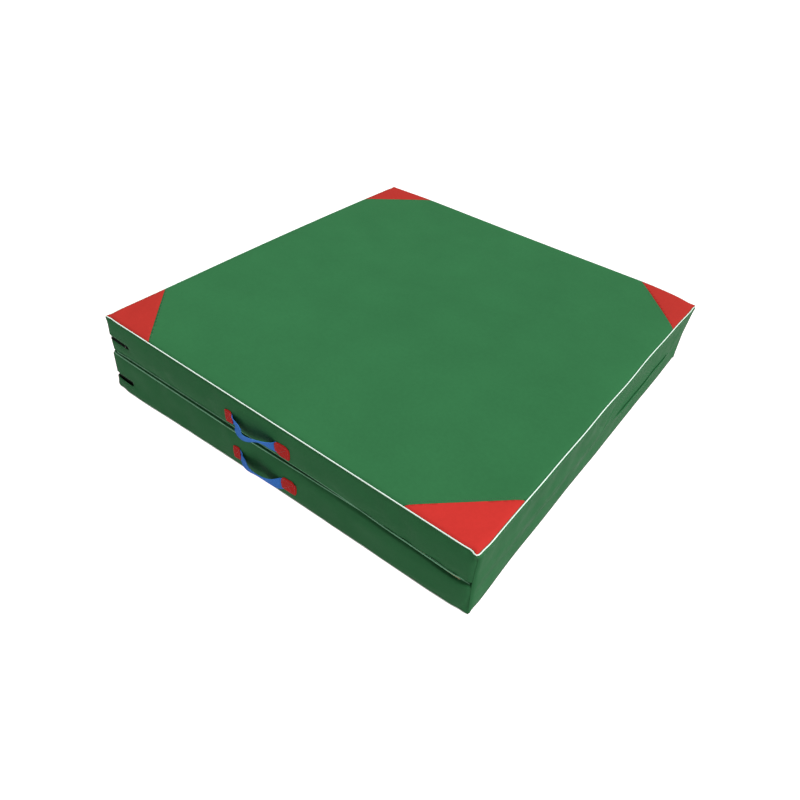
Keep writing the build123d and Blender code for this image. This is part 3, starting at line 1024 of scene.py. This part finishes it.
# The pleat in which the strip's slack lies folded, at the back half of the fold. For lines of
# the strip at some height above the fold: how far out and how high they come to lie.
PLEAT = (
    np.array(
        [
            (-28, 1.4, -28),
            (-22, 2.6, -21.5),
            (-16, 4.6, -14.5),
            (-12, 6.2, -9),
            (-9, 6.9, -4.5),
            (-7.4, 6.7, -1.6),
            (-6.4, 6.0, 0.1),
            (-5.4, 4.9, 0.3),
            (-4.4, 4.3, -1),
            (-3.4, 4.2, -3),
            (-2.6, 3.9, -4.4),
            (-1.8, 3.2, -4.4),
            (-1, 2.8, -3),
            (0, 2.8, -1.2),
            (1.5, 2.9, 0.8),
            (3, 2.8, 2.6),
            (5, 2.4, 5),
            (8, 2.0, 8),
            (14, 1.4, 14),
        ]
    )
    * MM
)


def strip_line(height, ys):
    """A line of the hinge strip along y, at a height above the fold. The strip follows the soft
    wall behind it, lies flush at its ends and dives in at its sewn edges."""
    side = "lower" if height <= 0 else "upper"
    w = depth_at(HALF_X) + FOLD_CLEARANCE - abs(height)
    ends = ease((HALF_Y - np.abs(ys)) / (5 * MM))
    edge = ease((w - STRIP_START) / (4 * MM))
    lift = STRIP_LIFT * (0.3 + 0.7 * ends) * (0.5 + 0.5 * edge)
    plain = np.column_stack([HALF_X + lift, ys, np.full_like(ys, w)])
    line = place(side, soften(side, plain, inner_seam=0))
    pleated = ease((ys - 0.045) / 0.06) * ease((0.425 - ys) / 0.06)
    line[:, 0] += pleated * (np.interp(height, PLEAT[:, 0], PLEAT[:, 1]) - STRIP_LIFT)
    if PLEAT[0, 0] < height < PLEAT[-1, 0]:
        line[:, 2] += pleated * (np.interp(height, PLEAT[:, 0], PLEAT[:, 2]) - height)
    return line


def build_hinge_strip():
    """One strip of cloth over both hinge walls, shaped round the fold as the mat lies shut."""
    fold = depth_at(HALF_X) + FOLD_CLEARANCE
    to_edge = fold - STRIP_START
    lower = np.linspace(-to_edge, PLEAT[0, 0], 13)[:-1]
    upper = np.linspace(PLEAT[-1, 0], to_edge, 16)[1:]
    by_end = np.array([0, 1.5, 3, 5, 7.5, 10.5]) * MM
    inner = HALF_Y - 14 * MM
    middle = np.linspace(-inner, inner, 200)
    ys = np.concatenate([by_end - HALF_Y, middle, (HALF_Y - by_end)[::-1]])
    grid = [strip_line(height, ys) for height in (*lower, *PLEAT[:, 0], *upper)]
    faces = grid_faces(len(grid), len(ys))
    strip = subdivide(new_object("hinge_strip_cloth", np.vstack(grid), faces))
    surface = outer_surface(strip)
    thicken(strip, CLOTH)
    leaves = [f"{side}_hinge_leaf" for side in SIDES]
    finish_piece(strip, MATERIALS["cover_green"], None, leaves)
    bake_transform(strip)
    return surface


# --- zip ---


def round_the_zip_end(inset, end_x, height, pitch):
    """A level path across the zip end and a little way along both side walls."""
    radius = CORNER_RADIUS["zip"] - inset
    x0, y0 = -HALF_X + inset, HALF_Y - inset
    path = []
    for sign in (-1, 1):
        angle = np.linspace(0, math.pi / 2, 9)
        arc_x = x0 + radius - radius * np.sin(angle)
        arc_y = sign * (y0 - radius + radius * np.cos(angle))
        half = np.vstack([[[end_x, sign * y0]], np.column_stack([arc_x, arc_y])])
        path.append(half if sign < 0 else half[::-1])
    flat = np.vstack(path)
    return resample(np.column_stack([flat, np.full(len(flat), height)]), pitch)


def build_tapes(side, height):
    """Two woven bands behind the cover's edges."""
    path = round_the_zip_end(2.0 * MM, SLOT_END[side] + 6 * MM, height, 6 * MM)
    outward = unit(np.cross(tangents(path), UP))
    bands = []
    for sign in (-1, 1):
        low, high = sorted((sign * 1.3 * MM, sign * 13.5 * MM))
        outline = [(-0.3, low), (0.3, low), (0.45, (low + high) / 2), (0.3, high), (-0.3, high)]
        section = np.array([(a * MM, b) for a, b in outline])
        tube, faces = sweep(path, outward, np.broadcast_to(UP, path.shape), section)
        tube[:, 0] += lean_past_zip(side, tube[:, 0], tube[:, 2])
        bands.append((tube, faces))
    verts, faces = joined(bands)
    tapes = object_from(oriented(place(side, verts), faces), f"{side}_zip_tapes_woven")
    x, y, w = place(side, coordinates(tapes)).T
    add_uv(tapes, np.column_stack([(x + y) / MM, (w - height) / (26 * MM)]))
    finish_piece(tapes, MATERIALS["zip_tape"], f"{side}_panel", [f"{side}_zip_tapes"])


def build_coils(side, height):
    """Two interlocking spirals of nylon."""
    pitch, samples = 2.6 * MM, 9
    path = round_the_zip_end(0.5 * MM, SLOT_END[side] - 6 * MM, height, pitch / samples)
    outward = unit(np.cross(tangents(path), UP))
    spirals = []
    for sign, phase in ((-1, 0), (1, np.pi)):
        turns = np.arange(len(path)) * 2 * np.pi / samples + phase
        rise = sign * 1.15 * MM + 1.25 * MM * np.cos(turns)
        centre = path + outward * (0.75 * MM * np.sin(turns))[:, None] + UP * rise[:, None]
        along = tangents(centre)
        one = unit(np.cross(along, UP + 0.2 * outward))
        spirals.append(sweep(centre, one, np.cross(along, one), circle(0.38 * MM, 5)))
    verts, faces = joined(spirals)
    coils = object_from(oriented(place(side, verts), faces), f"{side}_zip_coils_spiral")
    finish_piece(coils, MATERIALS["zip_coil"], f"{side}_panel", [f"{side}_zip_coils"])


def build_zip(side):
    build_tapes(side, ZIP_HEIGHT[side])
    build_coils(side, ZIP_HEIGHT[side])
    for name in ("zip_end_stops", "zip_slider", "zip_pull"):
        finish_piece(frame["nodes"][f"{side}_{name}"], MATERIALS["zip_metal"])


# --- carrying handles ---


def on_wall(surface, x, z, lift=0.0):
    """Points on the handle side's wall at world x and z, lifted off it."""
    made = []
    for a, b in zip(np.ravel(x), np.ravel(z)):
        hit = surface.ray_cast(Vector((a, -HALF_Y - 0.1, b)), Vector((0, 1, 0)))[0]
        made.append((a, (hit.y if hit else -HALF_Y) - lift, b))
    return np.array(made)


def webbing_section(width, thickness):
    """A flat band's outline with two thicker selvedges, and its share across the band."""
    share = np.array([0, 0.03, 0.09, 0.14, 0.3, 0.5, 0.7, 0.86, 0.91, 0.97, 1])
    puff = np.array([0.25, 0.95, 1.1, 0.85, 0.9, 0.9, 0.9, 0.85, 1.1, 0.95, 0.25]) * thickness / 2
    across = (share - 0.5) * width
    outline = np.vstack([np.column_stack([across, puff]), np.column_stack([across, -puff])[::-1]])
    return outline, np.concatenate([share, share[::-1]])


def spline(points, count):
    """A smooth open curve near a few points: cubic B-spline through doubled ends."""
    points = np.asarray(points, float)
    padded = np.vstack([2 * points[0] - points[1], points, 2 * points[-1] - points[-2]])
    at = np.linspace(0, len(points) - 1 - 1e-9, count)
    i, t = at.astype(int), (at % 1)[:, None]
    a, b, c, d = (padded[i + k] for k in range(4))
    weight_b = 3 * t**3 - 6 * t**2 + 4
    weight_c = -3 * t**3 + 3 * t**2 + 3 * t + 1
    return ((1 - t) ** 3 * a + weight_b * b + weight_c * c + t**3 * d) / 6


WEBBING_WIDTH = 26 * MM
WEBBING = 1.5 * MM
PATCH_SEAM = 3.5 * MM
# The straps' middle lines in millimetres: along x from the handle's middle, off the wall, and
# up from the sewn ends; then how far the upper edge leans out, in degrees.
STRAP_LINES = {
    "upper": [
        (-66, 0.9, 0, 0),
        (-62, 0.9, 1, 0),
        (-58, 1.4, 1, 0),
        (-54, 4.2, 1.5, 16),
        (-48, 7.5, 1, 16),
        (-41, 9.5, -1.5, 6),
        (-34, 12, -8, 0),
        (-25, 14, -13.5, 2),
        (-12, 15.5, -12, 20),
        (2, 16, -6, 36),
        (16, 15.5, -1, 42),
        (29, 14, 1, 38),
        (40, 12, 1.5, 31),
        (49, 8, 0.5, 15),
        (54, 4, -1, 4),
        (58, 1.4, -1.2, 0),
        (62, 0.9, -1, 0),
        (66, 0.9, 0, 0),
    ],
    "lower": [
        (-66, 0.9, 0, 0),
        (-62, 0.9, -1, 0),
        (-58, 1.4, -2, 0),
        (-54, 4.0, -4, 10),
        (-48, 6.5, -6, 3),
        (-41, 9, -8.5, 0),
        (-30, 11.5, -10.5, 8),
        (-17, 13.5, -10, 24),
        (-2, 14.5, -9.5, 30),
        (12, 14.5, -9, 29),
        (25, 13, -9.5, 25),
        (36, 10, -10, 16),
        (46, 6.5, -9.5, 4),
        (53, 3.5, -7, 0),
        (58, 1.4, -4, 0),
        (62, 0.9, -2, 0),
        (66, 0.9, -1, 0),
    ],
}


def blue_strap(name, path, across, over, ring_uv, body):
    """A length of webbing along a path."""
    outline, share_across = webbing_section(WEBBING_WIDTH, WEBBING)
    tube, faces = sweep(path, across, over, outline)
    obj = object_from(oriented(tube, faces), name)
    obj.data.set_sharp_from_angle(angle=math.radians(60))
    add_uv(obj, np.column_stack([np.repeat(ring_uv, len(outline)), np.tile(share_across, len(path))]))
    finish_piece(obj, MATERIALS["webbing_blue"], body)
    return obj


def build_strap(side, surface, middle, height):
    """The loose strap, in two halves that meet at its middle."""
    line = np.array(STRAP_LINES[side], float)
    ends = middle + line[[0, -1], 0] * MM
    wall = on_wall(surface, ends, [height, height])[:, 1]
    share = (line[:, 0] - line[0, 0]) / (line[-1, 0] - line[0, 0])
    wall_y = wall[0] + share * (wall[1] - wall[0])
    knots = np.column_stack([middle + line[:, 0] * MM, wall_y - line[:, 1] * MM, height + line[:, 2] * MM])
    count = 140
    path = spline(knots, count)
    lean = spline(np.column_stack([line[:, 3], 0 * share, 0 * share]), count)[:, :1]
    along = tangents(path)
    width_way = unit(np.cross(along, [0, -1.0, 0]))
    width_way *= np.sign(width_way[:, 2:3])
    over_way = unit(np.cross(width_way, along))
    over_way *= -np.sign(over_way[:, 1:2])
    angle = np.radians(lean)
    across = np.cos(angle) * width_way + np.sin(angle) * over_way
    over = -np.sin(angle) * width_way + np.cos(angle) * over_way
    run = np.concatenate([[0], np.cumsum(np.linalg.norm(np.diff(path, axis=0), axis=1))]) / MM
    half = count // 2
    for name, part, still_x in (
        ("zip_half", slice(0, half + 1), ends[0] + 8 * MM),
        ("hinge_half", slice(half, count), ends[1] - 8 * MM),
    ):
        obj = blue_strap(f"{side}_handle_strap_{name}", path[part], across[part], over[part], run[part], None)
        if name == "zip_half":
            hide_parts(f"{side}_handle_strap")
        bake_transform(obj)


def build_sewn_end(side, surface, name, outer, inner, height):
    """The strap's flat end under a patch, from the patch's outer edge to its inner one."""
    xs = np.linspace(outer, inner, 14)
    centre = on_wall(surface, xs, np.full_like(xs, height), 0.9 * MM)
    ups = np.broadcast_to([0, 0, 1.0], centre.shape)
    outs = np.broadcast_to([0, -1.0, 0], centre.shape)
    obj = blue_strap(f"{side}_handle_strap_{name}_end", centre, ups, outs, xs / MM, f"{side}_panel")
    points = coordinates(obj)
    wall = on_wall(surface, points[:, 0], points[:, 2])[:, 1]
    middle_wall = on_wall(surface, points[:, 0], np.full(len(points), height))[:, 1]
    points[:, 1] += wall - middle_wall
    set_coordinates(obj, points)
    if name == "zip":
        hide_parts(f"{side}_handle_strap_ends")


def build_patch(side, surface, name, low, high):
    """A piece of cloth pressed down round the strap's end, with a sewn box and cross."""
    centre_x, centre_z = (low.x + high.x) / 2, (low.z + high.z) / 2
    width, tall = high.x - low.x, high.z - low.z
    cols, rows = np.meshgrid(np.linspace(-0.5, 0.5, 33), np.linspace(-0.5, 0.5, 37))
    rounded = 0.17 * np.abs(cols * 2) ** 3 * np.abs(rows * 2) ** 3
    u, v = cols * width * (1 - rounded), rows * tall * (1 - rounded)
    inwards = u if name == "zip" else -u
    over_strap = ease((WEBBING_WIDTH / 2 + 3.8 * MM - np.abs(v)) / (3.4 * MM))
    over_strap = over_strap * ease((inwards + width / 2 - 1 * MM) / (4 * MM))
    box_u, box_v = width / 2 - PATCH_SEAM, tall / 2 - PATCH_SEAM
    seam_u = near(np.abs(u) - box_u, 1.3 * MM) * (np.abs(v) < box_v + 1.5 * MM)
    seam_v = near(np.abs(v) - box_v, 1.3 * MM) * (np.abs(u) < box_u + 1.5 * MM)
    cross = near(np.abs(u) - np.abs(v) * box_u / box_v, 1.2 * MM)
    dip = np.maximum(np.maximum(seam_u, seam_v), 0.8 * cross)
    wobble = 0.3 * MM * ripple(u + centre_x, v, 0.02, 51 + (side == "upper"))
    lift = 1.2 * MM + 2.8 * MM * over_strap - 0.6 * MM * dip + wobble * (0.4 + 0.6 * over_strap)
    frayed = 0.4 * MM * np.sin(u * 300)
    grid = on_wall(surface, centre_x + u, centre_z + v + frayed)
    grid[:, 1] -= lift.ravel()
    obj = new_object(f"{side}_handle_patch_{name}_side_cloth", grid, grid_faces(*u.shape))
    patch_surface = outer_surface(obj)
    thicken(obj, 1.1 * MM)
    slot = "handle_patch_red"
    finish_piece(obj, MATERIALS[slot], f"{side}_panel", [f"{side}_handle_patch_{name}_side"])
    box = [(-box_u, -box_v), (box_u, -box_v), (box_u, box_v), (-box_u, box_v)]
    runs = [*zip(box, box[1:] + box[:1]), (box[0], box[2]), (box[1], box[3])]
    lines = []
    for (u0, v0), (u1, v1) in runs:
        t = np.linspace(0, 1, 14)
        x, z = centre_x + u0 + (u1 - u0) * t, centre_z + v0 + (v1 - v0) * t
        lines.append(on_wall(patch_surface, x, z))
    sewn = f"{side}_handle_patch_{name}_stitching"
    stitches(sewn, lines, (0, -1, 0), RED_THREAD, f"{side}_panel", 3.0 * MM)


def build_handle(side, surface):
    """Strap ends, reinforcing patches and the loose strap of one carrying handle."""
    zip_low, zip_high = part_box(f"{side}_handle_patch_zip_side")
    hinge_low, hinge_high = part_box(f"{side}_handle_patch_hinge_side")
    middle = (zip_high.x + hinge_low.x) / 2
    height = (zip_low.z + zip_high.z + hinge_low.z + hinge_high.z) / 4
    build_strap(side, surface, middle, height)
    build_sewn_end(side, surface, "zip", zip_low.x + 6 * MM, zip_high.x - 1 * MM, height)
    build_sewn_end(side, surface, "hinge", hinge_low.x + 1 * MM, hinge_high.x - 7 * MM, height)
    build_patch(side, surface, "zip", zip_low, zip_high)
    build_patch(side, surface, "hinge", hinge_low, hinge_high)


# --- stitching ---


def one_stitch(a, b, outward, sides=6):
    """A spindle from a to b, lying on a surface that faces outward."""
    profile = [(-0.5, 0.15), (-0.38, 0.75), (0.0, 1.0), (0.38, 0.75), (0.5, 0.15)]
    length = np.linalg.norm(b - a)
    along = (b - a) / length
    normal = unit(outward - along * (outward @ along))
    angle = 2 * math.pi * np.arange(sides) / sides
    ring = np.outer(np.cos(angle) * 0.42 * MM, np.cross(along, normal))
    ring = ring + np.outer(np.sin(angle) * 0.34 * MM, normal)
    middle = (a + b) / 2 + normal * 0.12 * MM
    rings = [middle + along * shift * 0.78 * length + ring * girth for shift, girth in profile]
    last = (len(profile) - 1) * sides
    faces = [
        [p + k, p + (k + 1) % sides, p + sides + (k + 1) % sides, p + sides + k]
        for p in range(0, last, sides)
        for k in range(sides)
    ]
    return np.vstack(rings), faces + [list(range(sides))[::-1], [last + k for k in range(sides)]]


def stitches(name, rows, outward, material, body, pitch=4.2 * MM):
    """Short raised stitches along each row of points."""
    outward = np.asarray(outward, float)
    made = []
    for row in rows:
        if len(row) > 1:
            even = resample(np.asarray(row, float), pitch)
            made += [one_stitch(a, b, outward) for a, b in zip(even, even[1:])]
    verts, faces = joined(made)
    return finish_piece(object_from(oriented(verts, faces), name), material, body)


def lie_on(surface, points, outward):
    """Drops points on to a surface from outside it; a point that misses is left out."""
    made = []
    direction = Vector(-np.asarray(outward, float))
    for p in points:
        hit = surface.ray_cast(Vector(p) - direction * 0.03, direction)[0]
        if hit is not None and (hit - Vector(p)).length < 0.02:
            made.append(np.array(hit))
    return np.array(made)


SEAM_GAP = 3.5 * MM
STITCH_STEP = 4 * MM  # between the points that a row of stitches is laid through


def row_on(surface, side, outward, x, y, w):
    """A row of points in panel coordinates, dropped on to a surface that faces outward."""
    row = np.column_stack(np.broadcast_arrays(x, y, w))
    return lie_on(surface, place(side, row), outward)


def build_stitching(side, surfaces, strip):
    """Rows beside the zip, beside the corner seams, and along the hinge strip's edges."""
    to_zip, down, to_hinge = turn(side, [[-1.0, 0, 0], [0, 0, -1.0], [1.0, 0, 0]])
    end_y = np.arange(-HALF_Y + 12 * MM, HALF_Y - 12 * MM, STITCH_STEP)
    return_x = np.arange(-HALF_X + 12 * MM, SLOT_END[side] + 4 * MM, STITCH_STEP)
    strip_y = np.arange(-STRIP_HALF + 10 * MM, STRIP_HALF - 10 * MM, STITCH_STEP)
    rows = {name: [] for name in ("end", "handle", "back", "seams", "edges")}
    for sign, wall in ((-1, "zip_wall_outer_strip"), (1, "zip_wall_inner_strip")):
        for gap in (3 * MM, 9 * MM):
            w = ZIP_HEIGHT[side] + sign * (SLOT_HALF + gap)
            rows["end"].append(row_on(surfaces[wall], side, to_zip, -HALF_X, end_y, w))
            w -= sign * 2 * MM + RETURN_RISE[side]
            for flank, sign_y in FLANK_SIGN.items():
                surface, outward = surfaces[f"{flank}_wall"], (0, sign_y, 0)
                on_return = row_on(surface, side, outward, return_x, sign_y * HALF_Y, w)
                rows[flank].append(on_return)
    t = np.linspace(0.05, 0.95, 60)
    for (end, flank), (leg_x, leg_y) in PATCH_LEGS.items():
        x = END_SIGN[end] * (HALF_X - leg_x * (1 - t) - SEAM_GAP)
        y = FLANK_SIGN[flank] * (HALF_Y - leg_y * t - SEAM_GAP)
        rows["seams"].append(row_on(surfaces["outer_face"], side, down, x, y, 0))
    for gap in (4 * MM, 9 * MM):
        rows["edges"].append(row_on(strip, side, to_hinge, HALF_X, strip_y, STRIP_START + gap))
    for name, where, outward in (
        ("zip_stitching_end", "end", to_zip),
        ("zip_stitching_handle_side", "handle", (0, -1, 0)),
        ("zip_stitching_back", "back", (0, 1, 0)),
        ("corner_patch_stitching", "seams", down),
        ("hinge_strip_stitching", "edges", to_hinge),
    ):
        made = f"{side}_{name}"
        stitches(made, rows[where], outward, GREEN_THREAD, f"{side}_panel")


# --- foam ---


FOAM_INSET = 5 * MM


def foam_lines(half, count):
    """Grid lines from -half to half, with a narrow first and last space."""
    middle = np.linspace(-half + 12 * MM, half - 12 * MM, count)
    return np.concatenate([[-half], middle, [half]])


def build_foam(side):
    """The two glued layers of the core, pressed into the cover's shape from inside."""
    joint_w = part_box("lower_foam_base_layer")[1].z
    shares = np.array([0, 0.06, 0.35, 0.65, 0.94, 1.0])
    for name, slot in (("foam_base", "foam_firm"), ("foam_soft", "foam_soft")):
        plain, faces, _ = box_grid(foam_lines(HALF_X, 40), foam_lines(HALF_Y, 42), shares)
        depth = depth_at(plain[:, 0])
        if name == "foam_base":
            low, high = 2.4 * MM, joint_w - 0.1 * MM
        else:
            low, high = joint_w + 0.1 * MM, depth - 2.6 * MM
        plain[:, 2] = low + plain[:, 2] / depth * (high - low)
        soft = soften(side, plain)
        for axis, half in enumerate((HALF_X, HALF_Y)):
            inner = half - FOAM_INSET
            soft[:, axis] = np.clip(soft[:, axis] * (1 - FOAM_INSET / half), -inner, inner)
        soft[:, 2] = np.maximum(soft[:, 2], 2.2 * MM)
        obj = new_object(f"{side}_{name}", place(side, soft), facing(side, faces))
        finish_piece(obj, MATERIALS[slot], f"{side}_panel", [f"{side}_{name}_layer"])


# --- stage, light and camera ---


def build_stage():
    """A pale floor just under the object, bright enough to read as a white background."""
    bpy.ops.mesh.primitive_plane_add(size=40)
    floor = bpy.context.object
    floor.name = "floor"
    floor.location.z = -0.0005
    material, _ = shader(
        "pale_floor",
        roughness=0.9,
        base_color=(0.2, 0.2, 0.2, 1),
        specular_ior_level=0.0,
        emission_color=(1, 0.89, 0.92, 1),
        emission_strength=1.14,
    )
    floor.data.materials.append(material)


SUN_FROM = (0.41, 0.12, 0.90)


def build_light():
    """Soft light all round, and a broad sun from the hinge side."""
    world = bpy.data.worlds.new("studio")
    bpy.context.scene.world = world
    world.use_nodes = True
    background = world.node_tree.nodes["Background"]
    background.inputs["Color"].default_value = (1, 0.93, 0.95, 1)
    background.inputs["Strength"].default_value = 0.5
    sun = bpy.data.lights.new("key", "SUN")
    sun.energy = 5.2
    sun.angle = math.radians(35)
    lamp = linked("key", sun)
    lamp.rotation_mode = "QUATERNION"
    lamp.rotation_quaternion = Vector(SUN_FROM).to_track_quat("Z", "Y")


CAMERA_PLACE = (0.7634, -1.1829, 1.0486)
CAMERA_AZIMUTH, CAMERA_ELEVATION, CAMERA_ROLL = (math.radians(a) for a in (34.24, 39.25, 4.77))
CAMERA_LENS = 30.87


def build_camera():
    """A handheld view from the handle side's hinge end, looking down, slightly rolled."""
    level = math.cos(CAMERA_ELEVATION)
    back_x, back_y = math.sin(CAMERA_AZIMUTH) * level, -math.cos(CAMERA_AZIMUTH) * level
    back = Vector((back_x, back_y, math.sin(CAMERA_ELEVATION)))
    right = (-back).cross(Vector((0, 0, 1))).normalized()
    up = right.cross(-back)
    camera_x = math.cos(CAMERA_ROLL) * right + math.sin(CAMERA_ROLL) * up
    camera_y = -math.sin(CAMERA_ROLL) * right + math.cos(CAMERA_ROLL) * up
    data = bpy.data.cameras.new("camera")
    data.sensor_width = 36
    data.lens = CAMERA_LENS
    camera = linked("camera", data)
    rotation = Matrix((camera_x, camera_y, back)).transposed()
    camera.matrix_world = Matrix.Translation(CAMERA_PLACE) @ rotation.to_4x4()
    bpy.context.scene.camera = camera


# --- everything ---

bpy.context.scene.view_settings.view_transform = "Standard"
strip_surface = build_hinge_strip()
for panel_side in SIDES:
    skin_points, skin_groups, skin_surfaces = build_cover(panel_side)
    build_piping(panel_side, skin_points, skin_groups)
    build_zip(panel_side)
    build_handle(panel_side, skin_surfaces["handle_wall"])
    build_stitching(panel_side, skin_surfaces, strip_surface)
    build_foam(panel_side)
build_stage()
build_light()
build_camera()
